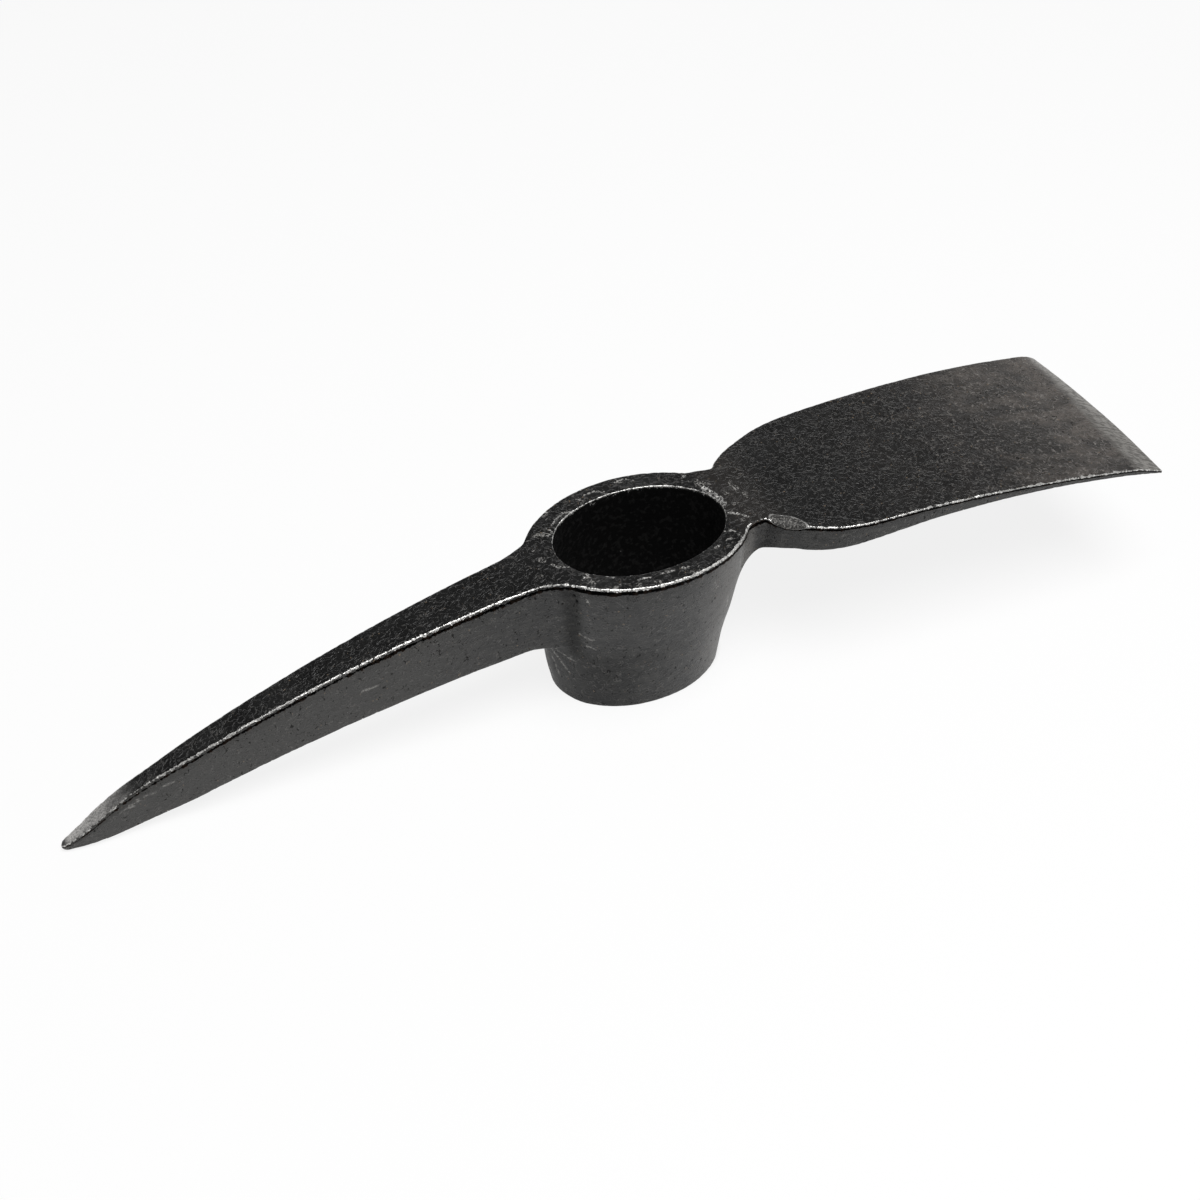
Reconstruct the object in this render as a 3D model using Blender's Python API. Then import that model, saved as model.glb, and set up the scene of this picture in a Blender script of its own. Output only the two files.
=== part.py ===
# Head of a pick mattock, in metres. +X points to the blade, +Y across the head, +Z up out of the wide end
# of the eye. The socket stands on its narrow end at z = 0, with the middle of the eye's rim over the origin.
import math

import bmesh
import bpy
from mathutils import Vector

# Room left between two pieces at a weld
WELD_GAP = 0.0003

# Eye socket, a tapered oval tube
SOCKET_HEIGHT = 0.0668
EYE_RIM_LENGTH = 0.0700
EYE_RIM_WIDTH = 0.0492
EYE_FOOT_LENGTH = 0.0600
EYE_FOOT_WIDTH = 0.0412
RIM_END_WALL = 0.0089
RIM_SIDE_WALL = 0.0082
FOOT_WALL = 0.0052
FOOT_SET_BACK = 0.0020
SOCKET_FLARE = 1.15
EYE_EDGE = 0.0006
RIM_EDGE = 0.0008
EYE_CUT_PAST = 0.0080

# Pick arm, from its weld at the socket to the weld of the point. Its top lies a drop below the eye's rim.
PICK_REACH = 0.2345
ARM_WELD = 0.0470
ARM_DROP = 0.0023
ARM_TOP = SOCKET_HEIGHT - ARM_DROP
ARM_TOP_AT_TIP = 0.0066
ARM_TOP_ARCH = 0.0085
ARM_RISE_START = 0.0510
ARM_RISE_END = 0.0430
ARM_ROOT_DEPTH = 0.0307
ARM_BOTTOM = ARM_TOP - ARM_ROOT_DEPTH
ARM_BOTTOM_AT_TIP = -0.0072
ARM_BOTTOM_ARCH = 0.0053
ARM_WIDTH = 0.0212
ARM_WIDTH_AT_TIP = 0.0060
ARM_WAIST = 0.0010
ARM_EDGE = 0.0010
CHEEK_RADIUS = 0.0200
THROAT_REACH = 0.0210
THROAT_DEPTH = 0.0062

# Pick point, the last stretch of the arm
POINT_LENGTH = 0.0600
POINT_SCARF = 40.0
POINT_CLEARANCE = 0.0013
POINT_KEEL = 0.0070
NOSE_LENGTH = 0.0240
NOSE_DEPTH = 0.0014
NOSE_WIDTH = 0.0026
NOSE_DEPTH_POWER = 1.8
NOSE_WIDTH_POWER = 3.0

# Mattock blade, from its weld at the socket's neck to the weld of the cutting edge. Its top lies a rise above
# the eye's rim.
BLADE_REACH = 0.2146
BLADE_WELD = 0.0500
BLADE_RISE = 0.0018
BLADE_TOP = SOCKET_HEIGHT + BLADE_RISE
BLADE_FLAT_END = 0.0880
BLADE_DROP = 0.0134
BLADE_ROOT_THICKNESS = 0.0112
BLADE_END_THICKNESS = 0.0031
BLADE_HOLLOW = 0.0023
BLADE_THICK_END = 0.0560
BLADE_ROOT_WIDTH = 0.0736
BLADE_END_WIDTH = 0.0888
BLADE_SHOULDER = 0.0800
BLADE_EDGE = 0.0007
NECK_WIDTH = 0.0400
NECK_REACH = 0.0405
NECK_RAMP_START = 0.0250
NECK_RAMP_END = 0.0410
NECK_CHEEK_RADIUS = 0.0040
GUSSET_REACH = 0.0145
GUSSET_DEPTH = 0.0180

# Cutting edge, the ground end of the blade
EDGE_LENGTH = 0.0240
EDGE_SCARF = 45.0
EDGE_BOW = 0.0025
GRIND_LENGTH = 0.0115
GRIND_DROP = 0.0020

# How finely the shapes are cut into flat faces
OVAL_POINTS = 64
SOCKET_RINGS = 6
ARM_STEP = 0.0080
ROOT_STEP = 0.0020
BLADE_STEP = 0.0085
ARM_COLUMNS = 4
BLADE_COLUMNS = 8
MOST_EDGE_SHARE = 0.3
SHARP_ANGLE = 25.0

METALLIC = 0.9
FORGED_BLACK = (0.030, 0.030, 0.031)
WORN_STEEL = (0.090, 0.088, 0.085)


def clear_scene():
    for obj in list(bpy.data.objects):
        bpy.data.objects.remove(obj)


# Lines and curves

def between(start, end, share):
    return start + (end - start) * share


def clamped(share):
    return min(max(share, 0.0), 1.0)


def smooth_step(share):
    share = clamped(share)
    return share * share * (3 - 2 * share)


def bowed(start, end, rise, share):
    """A line from start to end that stands off its chord by rise at half-way."""
    return between(start, end, share) + 4 * rise * share * (1 - share)


def soft_max(first, second, reach):
    """The larger of two values, rounded where they lie within reach of each other."""
    overlap = max(1 - abs(first - second) / reach, 0.0)
    return max(first, second) + reach / 4 * overlap * overlap


def fillet_depth(distance, reach, depth):
    """How far an oval fillet hangs down at a distance from the wall that it runs out on."""
    inside = clamped(1 - distance / reach)
    return depth * (1 - math.sqrt(1 - inside ** 2))


# Socket

def outer_oval(height):
    """Half length, half width and middle of the socket's outside at a height."""
    share = clamped(height / SOCKET_HEIGHT) ** SOCKET_FLARE
    foot = (EYE_FOOT_LENGTH / 2 + FOOT_WALL, EYE_FOOT_WIDTH / 2 + FOOT_WALL)
    rim = (EYE_RIM_LENGTH / 2 + RIM_END_WALL, EYE_RIM_WIDTH / 2 + RIM_SIDE_WALL)
    return between(foot[0], rim[0], share), between(foot[1], rim[1], share), between(-FOOT_SET_BACK, 0.0, share)


def eye_oval(height):
    """Half length, half width and middle of the eye at a height, also past the ends of the socket."""
    share = height / SOCKET_HEIGHT
    return (
        between(EYE_FOOT_LENGTH, EYE_RIM_LENGTH, share) / 2,
        between(EYE_FOOT_WIDTH, EYE_RIM_WIDTH, share) / 2,
        between(-FOOT_SET_BACK, 0.0, share),
    )


def oval_ring(oval, height, growth=0.0):
    half_length, half_width, middle = oval
    turns = [2 * math.pi * i / OVAL_POINTS for i in range(OVAL_POINTS)]
    return [
        Vector((middle + (half_length + growth) * math.cos(t), (half_width + growth) * math.sin(t), height))
        for t in turns
    ]


def socket_rings():
    top = SOCKET_HEIGHT - RIM_EDGE
    heights = [between(RIM_EDGE, top, i / SOCKET_RINGS) for i in range(SOCKET_RINGS + 1)]
    rings = [oval_ring(outer_oval(0.0), 0.0, -RIM_EDGE)]
    rings += [oval_ring(outer_oval(height), height) for height in heights]
    return rings + [oval_ring(outer_oval(SOCKET_HEIGHT), SOCKET_HEIGHT, -RIM_EDGE)]


def eye_rings():
    """The eye as a solid to cut away, opened out a little where it meets the rim and the foot."""
    ends = (-EYE_CUT_PAST, 0.0, SOCKET_HEIGHT, SOCKET_HEIGHT + EYE_CUT_PAST)
    heights = sorted(ends + (EYE_EDGE, SOCKET_HEIGHT - EYE_EDGE))
    return [oval_ring(eye_oval(height), height, EYE_EDGE if height in ends else 0.0) for height in heights]


def wall_distance(x, y, height):
    """How far a place lies outside the socket's wall at a height."""
    half_length, half_width, middle = outer_oval(height)
    return (math.hypot((x - middle) / half_length, y / half_width) - 1) * half_length


def cheeked(half_width, x, height, radius):
    """Half width of a root at x and a height, with a round cheek of a radius up to the socket's wall."""
    half_length, wall_width, middle = outer_oval(height)
    side = math.copysign(1.0, x)
    out = side * (x - middle)
    centre_y = half_width + radius
    slant = math.sqrt(max(1 - (centre_y / (wall_width + radius)) ** 2, 0.0))
    centre_out = (half_length + radius) * slant
    touch_out = half_length * slant
    if out >= centre_out:
        return half_width
    if out >= touch_out:
        return centre_y - math.sqrt(max(radius ** 2 - (centre_out - out) ** 2, 0.0))
    sunk = RIM_EDGE * clamped((touch_out - out) / ROOT_STEP)
    return wall_width * math.sqrt(max(1 - (out / half_length) ** 2, 0.0)) - sunk


# Sections across the head

def section(x, half_width_at, top, bottom_at, edge, columns, shift_at=None):
    """A ring of points round the pick or the blade at x, with its four long edges taken off.

    half_width_at gives the half width at a height, bottom_at the underside at a y, and shift_at how far
    a point at a y is moved along X."""
    half = half_width_at(top)
    edge = min(edge, MOST_EDGE_SHARE * half, MOST_EDGE_SHARE * (top - bottom_at(half)))
    low = bottom_at(half_width_at(bottom_at(half))) + edge
    high = top - edge
    sides = [(half_width_at(z), z) for z in (low, between(low, high, 0.5), high)]
    spans = [1 - 2 * i / columns for i in range(columns + 1)]
    upper = [(span * (half - edge), top) for span in spans]
    under = [-span * (sides[0][0] - edge) for span in spans]
    points = sides + upper + [(-y, z) for y, z in reversed(sides)] + [(y, bottom_at(y)) for y in under]
    return [Vector((x + (shift_at(y) if shift_at else 0.0), y, z)) for y, z in points]


# Pick arm and point. Their x is negative.

def arm_share(x):
    return (-x - ARM_WELD) / (PICK_REACH - ARM_WELD)


def nose_fullness(x, power):
    return 1 - (1 - clamped((x + PICK_REACH) / NOSE_LENGTH)) ** power


def arm_top(x):
    line = bowed(ARM_TOP, ARM_TOP_AT_TIP, ARM_TOP_ARCH, arm_share(x))
    line = between(line, SOCKET_HEIGHT, smooth_step((x + ARM_RISE_START) / (ARM_RISE_START - ARM_RISE_END)))
    bottom = arm_bottom(x)
    return bottom + between(NOSE_DEPTH, line - bottom, nose_fullness(x, NOSE_DEPTH_POWER))


def arm_bottom(x):
    line = bowed(ARM_BOTTOM, ARM_BOTTOM_AT_TIP, ARM_BOTTOM_ARCH, arm_share(x))
    return soft_max(line, POINT_CLEARANCE, POINT_KEEL)


def arm_half_width(x):
    half = bowed(ARM_WIDTH, ARM_WIDTH_AT_TIP, -ARM_WAIST, arm_share(x)) / 2
    return between(NOSE_WIDTH / 2, half, nose_fullness(x, NOSE_WIDTH_POWER))


def arm_section(x):
    bottom = arm_bottom(x)

    def half_width_at(height):
        return cheeked(arm_half_width(x), x, height, CHEEK_RADIUS)

    def bottom_at(y):
        return bottom - fillet_depth(wall_distance(x, y, bottom - THROAT_DEPTH), THROAT_REACH, THROAT_DEPTH)

    return section(x, half_width_at, arm_top(x), bottom_at, ARM_EDGE, ARM_COLUMNS)


# Blade and cutting edge

def ground_share(x):
    return max(x - BLADE_REACH + GRIND_LENGTH, 0.0) / GRIND_LENGTH


def blade_top(x):
    ramp = smooth_step((x - NECK_RAMP_START) / (NECK_RAMP_END - NECK_RAMP_START))
    past_flat = max(x - BLADE_FLAT_END, 0.0) / (BLADE_REACH - BLADE_FLAT_END)
    return between(SOCKET_HEIGHT, BLADE_TOP, ramp) - BLADE_DROP * past_flat ** 2


def blade_thickness(x):
    share = max(x - BLADE_THICK_END, 0.0) / (BLADE_REACH - BLADE_THICK_END)
    return bowed(BLADE_ROOT_THICKNESS, BLADE_END_THICKNESS, -BLADE_HOLLOW, share)


def blade_half_width(x):
    if x >= BLADE_SHOULDER:
        share = (x - BLADE_SHOULDER) / (BLADE_REACH - BLADE_SHOULDER)
        return between(BLADE_ROOT_WIDTH, BLADE_END_WIDTH, share) / 2
    rise = clamped((x - NECK_REACH) / (BLADE_SHOULDER - NECK_REACH))
    return between(NECK_WIDTH, BLADE_ROOT_WIDTH, math.sin(rise * math.pi / 2)) / 2


def blade_section(x):
    half_width = blade_half_width(x)
    bottom = blade_top(x) - blade_thickness(x)
    top = blade_top(x) - GRIND_DROP * ground_share(x)
    bow = EDGE_BOW * smooth_step((x - BLADE_REACH + EDGE_LENGTH) / EDGE_LENGTH)

    def half_width_at(height):
        return cheeked(half_width, x, height, NECK_CHEEK_RADIUS)

    def bottom_at(y):
        return bottom - fillet_depth(wall_distance(x, y, bottom - GUSSET_DEPTH), GUSSET_REACH, GUSSET_DEPTH)

    def shift_at(y):
        return bow * (1 - (y / half_width) ** 2)

    return section(x, half_width_at, top, bottom_at, BLADE_EDGE, BLADE_COLUMNS, shift_at)


# Making solids

def stations(start, end, step):
    count = max(1, math.ceil(abs(end - start) / step - 1e-6))
    return [between(start, end, i / count) for i in range(count + 1)]


def lofted(sections):
    """A closed solid through rings that all have the same number of points."""
    bm = bmesh.new()
    rings = [[bm.verts.new(point) for point in ring] for ring in sections]
    for first, second in zip(rings, rings[1:]):
        for i, vert in enumerate(first):
            j = (i + 1) % len(first)
            bm.faces.new((vert, first[j], second[j], second[i]))
    bm.faces.new(rings[0])
    bm.faces.new(rings[-1])
    bmesh.ops.recalc_face_normals(bm, faces=bm.faces)
    return bm


def cut_off(bm, place, outward):
    """Takes away what lies beyond a plane and closes the cut."""
    everything = bm.verts[:] + bm.edges[:] + bm.faces[:]
    found = bmesh.ops.bisect_plane(
        bm, geom=everything, dist=1e-7, plane_co=place, plane_no=outward, clear_outer=True
    )
    edges = [item for item in found["geom_cut"] if isinstance(item, bmesh.types.BMEdge)]
    bmesh.ops.holes_fill(bm, edges=edges, sides=0)
    bmesh.ops.recalc_face_normals(bm, faces=bm.faces)


def cut_scarf(bm, x, height, outward, keep_outer):
    """Cuts a solid on a slanting weld. keep_outer leaves the piece on the outer side of it."""
    sign = -1 if keep_outer else 1
    place = Vector((x, 0, height)) - sign * outward * WELD_GAP / 2
    cut_off(bm, place, sign * outward)


def steel(name, colour, roughness):
    material = bpy.data.materials.new(name)
    material.use_nodes = True
    shader = material.node_tree.nodes["Principled BSDF"]
    shader.inputs["Base Color"].default_value = (*colour, 1)
    shader.inputs["Roughness"].default_value = roughness
    shader.inputs["Metallic"].default_value = METALLIC
    return material


def to_object(bm, name):
    mesh = bpy.data.meshes.new(name)
    bm.to_mesh(mesh)
    bm.free()
    obj = bpy.data.objects.new(name, mesh)
    bpy.context.scene.collection.objects.link(obj)
    return obj


def finish_piece(obj, material):
    obj.data.materials.append(material)
    obj.data.shade_smooth()
    obj.data.set_sharp_from_angle(angle=math.radians(SHARP_ANGLE))


def add_boolean(obj, other, operation):
    other.hide_render = True
    other.display_type = "WIRE"
    modifier = obj.modifiers.new(other.name, "BOOLEAN")
    modifier.operation = operation
    modifier.object = other


# The pieces

def make_socket():
    socket = to_object(lofted(socket_rings()), "eye_socket")
    arm_xs = stations(-EYE_FOOT_LENGTH / 2, -ARM_WELD + WELD_GAP / 2, ROOT_STEP)
    neck_xs = stations(NECK_RAMP_START, BLADE_WELD - WELD_GAP / 2, ROOT_STEP)
    arm_root = to_object(lofted([arm_section(x) for x in arm_xs]), "arm_root_form")
    neck_root = to_object(lofted([blade_section(x) for x in neck_xs]), "neck_root_form")
    eye = to_object(lofted(eye_rings()), "eye_cutter")
    add_boolean(socket, arm_root, "UNION")
    add_boolean(socket, neck_root, "UNION")
    add_boolean(socket, eye, "DIFFERENCE")
    finish_piece(socket, steel("socket_steel", FORGED_BLACK, 0.42))


def make_pick():
    weld_x = POINT_LENGTH - PICK_REACH
    weld_height = (arm_top(weld_x) + arm_bottom(weld_x)) / 2
    lean = math.radians(POINT_SCARF)
    outward = Vector((-math.cos(lean), 0, math.sin(lean)))
    xs = stations(-ARM_WELD - WELD_GAP / 2, -ARM_WELD - ARM_STEP, ROOT_STEP)
    xs += stations(xs[-1], NOSE_LENGTH - PICK_REACH, ARM_STEP)[1:]
    xs += stations(xs[-1], -PICK_REACH, ROOT_STEP)[1:]
    arm = lofted([arm_section(x) for x in xs])
    point = arm.copy()
    cut_scarf(arm, weld_x, weld_height, outward, keep_outer=False)
    cut_scarf(point, weld_x, weld_height, outward, keep_outer=True)
    finish_piece(to_object(arm, "pick_arm"), steel("arm_steel", FORGED_BLACK, 0.40))
    finish_piece(to_object(point, "pick_point"), steel("point_steel", WORN_STEEL, 0.45))


def make_blade():
    weld_x = BLADE_REACH - EDGE_LENGTH
    weld_height = blade_top(weld_x) - blade_thickness(weld_x) / 2
    lean = math.radians(EDGE_SCARF)
    outward = Vector((math.cos(lean), 0, math.sin(lean)))
    xs = stations(BLADE_WELD + WELD_GAP / 2, BLADE_SHOULDER, 2 * ROOT_STEP)
    xs += stations(xs[-1], BLADE_REACH - GRIND_LENGTH, BLADE_STEP)[1:]
    xs += stations(xs[-1], BLADE_REACH, 2 * ROOT_STEP)[1:]
    blade = lofted([blade_section(x) for x in xs])
    edge = blade.copy()
    cut_scarf(blade, weld_x, weld_height, outward, keep_outer=False)
    cut_scarf(edge, weld_x, weld_height, outward, keep_outer=True)
    finish_piece(to_object(blade, "mattock_blade"), steel("blade_steel", FORGED_BLACK, 0.45))
    finish_piece(to_object(edge, "cutting_edge"), steel("edge_steel", WORN_STEEL, 0.48))


clear_scene()
make_socket()
make_pick()
make_blade()
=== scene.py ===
from functools import partial
import math

import bmesh
import bpy
from mathutils import Matrix, Vector


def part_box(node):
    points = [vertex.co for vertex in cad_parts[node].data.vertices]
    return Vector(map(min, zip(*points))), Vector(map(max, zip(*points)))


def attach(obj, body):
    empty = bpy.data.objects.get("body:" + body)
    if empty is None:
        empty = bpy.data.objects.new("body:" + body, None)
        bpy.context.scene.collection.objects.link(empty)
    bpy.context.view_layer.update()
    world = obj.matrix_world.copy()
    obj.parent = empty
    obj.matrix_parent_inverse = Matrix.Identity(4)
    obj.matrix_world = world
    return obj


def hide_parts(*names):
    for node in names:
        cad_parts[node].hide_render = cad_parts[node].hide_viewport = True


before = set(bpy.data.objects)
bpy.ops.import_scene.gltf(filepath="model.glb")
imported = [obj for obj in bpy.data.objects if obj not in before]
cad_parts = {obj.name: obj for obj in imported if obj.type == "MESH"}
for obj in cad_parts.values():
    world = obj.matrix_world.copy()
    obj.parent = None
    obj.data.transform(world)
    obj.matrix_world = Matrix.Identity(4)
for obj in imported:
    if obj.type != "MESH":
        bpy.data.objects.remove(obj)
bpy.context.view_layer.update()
print("frame loaded:", ", ".join(sorted(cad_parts)))

# A pick mattock head, forged in one with its eye. Sizes are in millimetres until a mesh is made,
# +X points to the blade, +Z up out of the wide end of the eye, and -Y is the near side.
mm = 0.001
weldGap = 0.3  # between the frame's solids, and closed here
skinRoom = 0.1  # what the waves of the skin may add inside the frame's boxes
onCut = 1e-4  # points nearer than this to a cut lie on it


def boxOf(node):
    return [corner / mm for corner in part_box(node)]


# sums that the outlines share

def mix(start, end, share):
    return start + (end - start) * share


def clamped(share):
    return min(max(share, 0.0), 1.0)


def eased(share):
    share = clamped(share)
    return share * share * (3 - 2 * share)


def bowed(start, end, rise, share):
    return mix(start, end, share) + 4 * rise * share * (1 - share)


def hump(x, first, last):
    return math.sin(math.pi * clamped((x - first) / (last - first)))


# rises between the first two places and falls between the last two
def plateau(x, start, full, fade, end):
    return eased((x - start) / (full - start)) * (1 - eased((x - fade) / (end - fade)))


def onPath(path, x):
    for (x0, y0), (x1, y1) in zip(path, path[1:]):
        if x <= x1:
            return mix(y0, y1, clamped((x - x0) / (x1 - x0)))
    return path[-1][1]


# the socket: a tapered oval tube with a level rim

socket = {
    "rimZ": 66.8,
    "rimHalfLength": 43.9,
    "rimHalfWidth": boxOf("eye_socket")[1].y,
    "footHalfLength": 35.2,
    "footHalfWidth": 25.8,
    "footBack": 2.0,  # how far the foot's middle lies behind the rim's
    "flare": 1.15,  # over 1 keeps the foot slim and opens the rim late
    "boreHalfLength": 35.0,
    "boreHalfWidth": 24.6,
    "boreBack": 0.6,  # the bore lies a little nearer the pick than the rim does
    "boreFootHalfLength": 30.0,
    "boreFootHalfWidth": 20.6,
    "edge": 1.5,  # how far down the rim's outer edge is rounded
    "footEdge": 0.6,
    "boreEdge": 0.7,
    "farProud": (0.7, 3.0),  # how far the far half of the wall bulges, and how soon
    "farCorner": (0.3, 105.0, 160.0),  # and how much more beside the arm, between which angles
    "lip": 0.9,  # how far the near wall swells out below the rim's edge
    "lipSine": (0.3, 0.4),  # round the wall it starts from this sine, and is full this much further
    "lipDepths": (4.3, 7.0, 36.0),
    "throatSwell": (1.8, -225.0, -168.0),  # web below the arm's root: how proud, and from where to where
    "throatHeights": (-4.0, 12.0, 34.0, 48.0),
    "neckSwell": (1.15, -22.0, 56.0, 40.0),  # web below the neck: how proud, its middle, reach and fade
    "neckHeights": (17.0, 28.0, 44.0, 57.0),
    "meanRadius": 38.0,  # what a swell of the wall is measured against
    "wear": (0.5, 1.0, 16.0),  # of far and near edges, and the width that parts them: the near ones' extra brightness is painted highlight
    "wearPeak": (0.1, -28.0, 34.0),  # painted highlight: how much brighter the rim's outer edge is in the middle, and between which X
    "underFade": (0.82, -22.0, 0.0),  # the painted shadow line below the rim fades to this between these X
    "boreWear": (0.5, 0.85, 20.0),  # wear and painted highlight of the eye's own edge, on the near and the far side
    "footWear": 0.4,
    "wallHeights": (62.5, 57.0, 51.5, 46.0, 40.2, 39.0, 36.2, 33.4, 32.4, 27.0, 21.0, 15.0, 9.0, 4.5),
    "bladeRow": 7,  # wall row that the fillet under the blade runs out on
    "armRow": 10,  # wall row that the arm's underside meets
    "sideColumns": (0.03, 0.11, 0.21, 0.32, 0.44, 0.56, 0.68, 0.79, 0.89, 0.97),
    "rimRings": (0.0, 0.13, 0.5, 0.92, 1.0),
    "footRings": (0.0, 0.2, 0.8, 1.0),
    "boreRows": 4,
}

# the pick arm and its point

pick = {
    "tipX": boxOf("pick_point")[0].x,
    "weldX": boxOf("pick_arm")[1].x + weldGap / 2,
    "top": (64.5, 7.4, 8.3),  # at the root, at the tip, and the arch between
    "bottom": (33.4, -7.2, 5.6),
    "halfWidth": (10.6, 3.0, -0.5),
    "keel": (0.8, 7.0),  # height of the point's underside, and how softly it levels out
    "rootX": -58.0,
    "rimFall": (-53.0, -35.0),  # where the top comes up to the rim
    "farCheek": ((-58, 10.1), (-52, 10.7), (-48.5, 11.6), (-45, 11.9), (-42.5, 12.5), (-40.8, 13.6),
                 (-39, 15.8), (-37, 19.3), (-34.4, 22.0)),
    "nearCheek": ((-58, 10.1), (-52, 10.6), (-47.4, 11.5), (-44, 12.9), (-40.7, 14.9), (-38, 16.9),
                  (-36.2, 18.4)),
    "throat": ((0, 31.8), (0.12, 32.3), (0.35, 32.9), (0.7, 33.4), (1, 33.2)),
    "edge": 1.0,
    "swell": 0.9,  # how far the sides swell out below the top's edges
    "rub": 0.35, "worn": 0.85, "shade": 0.78,  # how smudged, how bright the painted highlight on its worn edges, how dark the painted shadow below them
    "noseLength": 30.0,
    "noseDepth": 2.5,
    "noseHalfWidth": 1.5,
    "noseFilling": (2.3, 4.0),  # how fast the nose gains its depth and its width
    "waist": (0.7, -220.0, -184.0),  # behind the tip the sides draw in: by how much, and between which X
    "scarfFromTip": 60.0,
    "scarfLean": 40.0,
    "columns": (0.0, 0.1, 0.3, 0.5, 0.7, 0.9, 1.0),
    "rings": (0.07, 0.18, 0.34, 0.54, 0.76, 1.0),
    "step": 6.6,
    "tipRings": (5.0, 3.2, 2.0, 1.1, 0.45, 0.06),
    "tipRadius": 1.8,
    "tipHeight": 0.45,  # of the very end, from the underside to the top
}

# the mattock blade and its cutting edge

endBow = 2.05  # the cutting edge's own curve, seen from above
blade = {
    "endX": boxOf("cutting_edge")[1].x - endBow - skinRoom,
    "weldX": boxOf("mattock_blade")[0].x - weldGap / 2,
    "topZ": boxOf("mattock_blade")[1].z - skinRoom,
    "flatEnd": 88.0,
    "drop": 13.4,
    "rise": (28.0, 44.0),  # where the top leaves the rim's level
    "thickness": (12.3, 3.1, -3.1),
    "thickEnd": 56.0,
    "sideEndX": 83.6,
    "endHalfWidth": boxOf("cutting_edge")[1].y - skinRoom / 2,
    "sideBow": (0.5, 110.0),  # how far the sides bow out towards the end, and from which X
    "rootX": 58.0,
    "farSide": ((32.4, 22.6), (34, 22.3), (36, 21.5), (38, 20.5), (40, 19.9), (41.6, 20.1), (43.0, 22.0),
                (44.8, 23.5), (48.4, 26.2), (51.2, 27.9), (56, 30.1), (61, 32.3), (65.7, 34.2), (70, 35.5),
                (76, 36.9), (83.6, 37.8)),
    "nearSide": ((37.5, 17.0), (40, 16.4), (43, 16.2), (45.2, 16.8), (47.0, 19.2), (49.4, 22.0), (53.1, 24.9),
                 (57, 27.8), (61, 30.7), (65.7, 33.3), (70, 34.8), (76, 36.2), (83.6, 37.0)),
    "gusset": ((0, 39.0), (0.05, 42.8), (0.13, 47.2), (0.22, 50.6), (0.30, 52.8), (0.41, 54.9),
               (0.54, 56.2), (0.75, 56.8), (1, 56.9)),
    "edge": 0.7,
    "swell": 0.3,
    # how smudged, how bright the painted highlight on its worn edges, how dark the painted shadow below them
    "rub": 0.1, "worn": 0.88, "shade": 0.88,
    "edgeLength": 24.0,
    "grindLength": 11.5,  # of the filed strip, on the near side
    "grindFarLength": 5.0,
    "grindTurn": 88.0,  # the width in which one length turns to the other
    "grindDrop": 2.0,
    "grindCrease": 1.2,  # how soft the strip's inner edge is
    "endStep": 4.0,  # between the rings in the strip, and between the last two
    "lastStep": 0.6,
    "facet": (45.5, 57.0),  # the near shoulder, where the edge was struck off
    "facetEnds": 0.7,  # below 1 the facet ends bluntly
    "facetDrop": 2.0,
    "facetWidth": 2.3,
    "facetStep": 1.2,
    "scaledNeck": (0.7, 30.0, 47.0),  # how much scale the neck's near edge kept, and between which X
    "scarfLean": 45.0,
    "columns": (0.0, 0.03, 0.11, 0.2, 0.3, 0.4, 0.5, 0.6, 0.7, 0.8, 0.89, 0.97, 1.0),
    "rings": (0.05, 0.13, 0.22, 0.30, 0.36, 0.41, 0.47, 0.54, 0.63, 0.75, 0.88, 1.0),
    "step": 8.4,
}


def outerOval(z):
    share = clamped(z / socket["rimZ"]) ** socket["flare"]
    return (
        mix(socket["footHalfLength"], socket["rimHalfLength"], share),
        mix(socket["footHalfWidth"], socket["rimHalfWidth"], share),
        mix(-socket["footBack"], 0.0, share),
    )


def boreOval(z):
    share = clamped(z / socket["rimZ"])
    return (
        mix(socket["boreFootHalfLength"], socket["boreHalfLength"], share),
        mix(socket["boreFootHalfWidth"], socket["boreHalfWidth"], share),
        mix(-socket["footBack"], -socket["boreBack"], share),
    )


def onOval(oval, angle):
    halfLength, halfWidth, middle = oval
    return middle + halfLength * math.cos(angle), halfWidth * math.sin(angle)


def grown(x, y, swell):
    out = 1 + swell / socket["meanRadius"]
    return x * out, y * out


def armShare(x):
    return (x - pick["weldX"]) / (pick["tipX"] - pick["weldX"])


def noseFullness(x, power):
    return 1 - (1 - clamped((x - pick["tipX"]) / pick["noseLength"])) ** power


def armBottom(x):
    height, softness = pick["keel"]
    line = bowed(*pick["bottom"], armShare(x))
    overlap = max(1 - abs(line - height) / softness, 0.0)
    return max(line, height) + softness / 4 * overlap * overlap


def armTop(x):
    line = bowed(*pick["top"], armShare(x))
    bottom = armBottom(x)
    return bottom + mix(pick["noseDepth"], line - bottom, noseFullness(x, pick["noseFilling"][0]))


def armHalfWidth(x, cheek):
    if x >= pick["rootX"]:
        return onPath(cheek, x)
    drawnIn, first, last = pick["waist"]
    full = bowed(*pick["halfWidth"], armShare(x)) - drawnIn * hump(x, first, last)
    return mix(pick["noseHalfWidth"], full, noseFullness(x, pick["noseFilling"][1]))


def bladeTop(x):
    past = clamped((x - blade["flatEnd"]) / (blade["endX"] - blade["flatEnd"]))
    return blade["topZ"] - blade["drop"] * past ** 2


def bladeBottom(x):
    share = clamped((x - blade["thickEnd"]) / (blade["endX"] - blade["thickEnd"]))
    return bladeTop(x) - bowed(*blade["thickness"], share)


def bladeHalfWidth(x, side):
    if x <= blade["sideEndX"]:
        return onPath(side, x)
    share = (x - blade["sideEndX"]) / (blade["endX"] - blade["sideEndX"])
    proud, first = blade["sideBow"]
    return mix(side[-1][1], blade["endHalfWidth"], share) + proud * hump(x, first, blade["endX"])


# how far down the ground strip a place lies, for a strip of that length
def groundShare(x, length):
    return clamped((x - blade["endX"] + length) / length)


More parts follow.
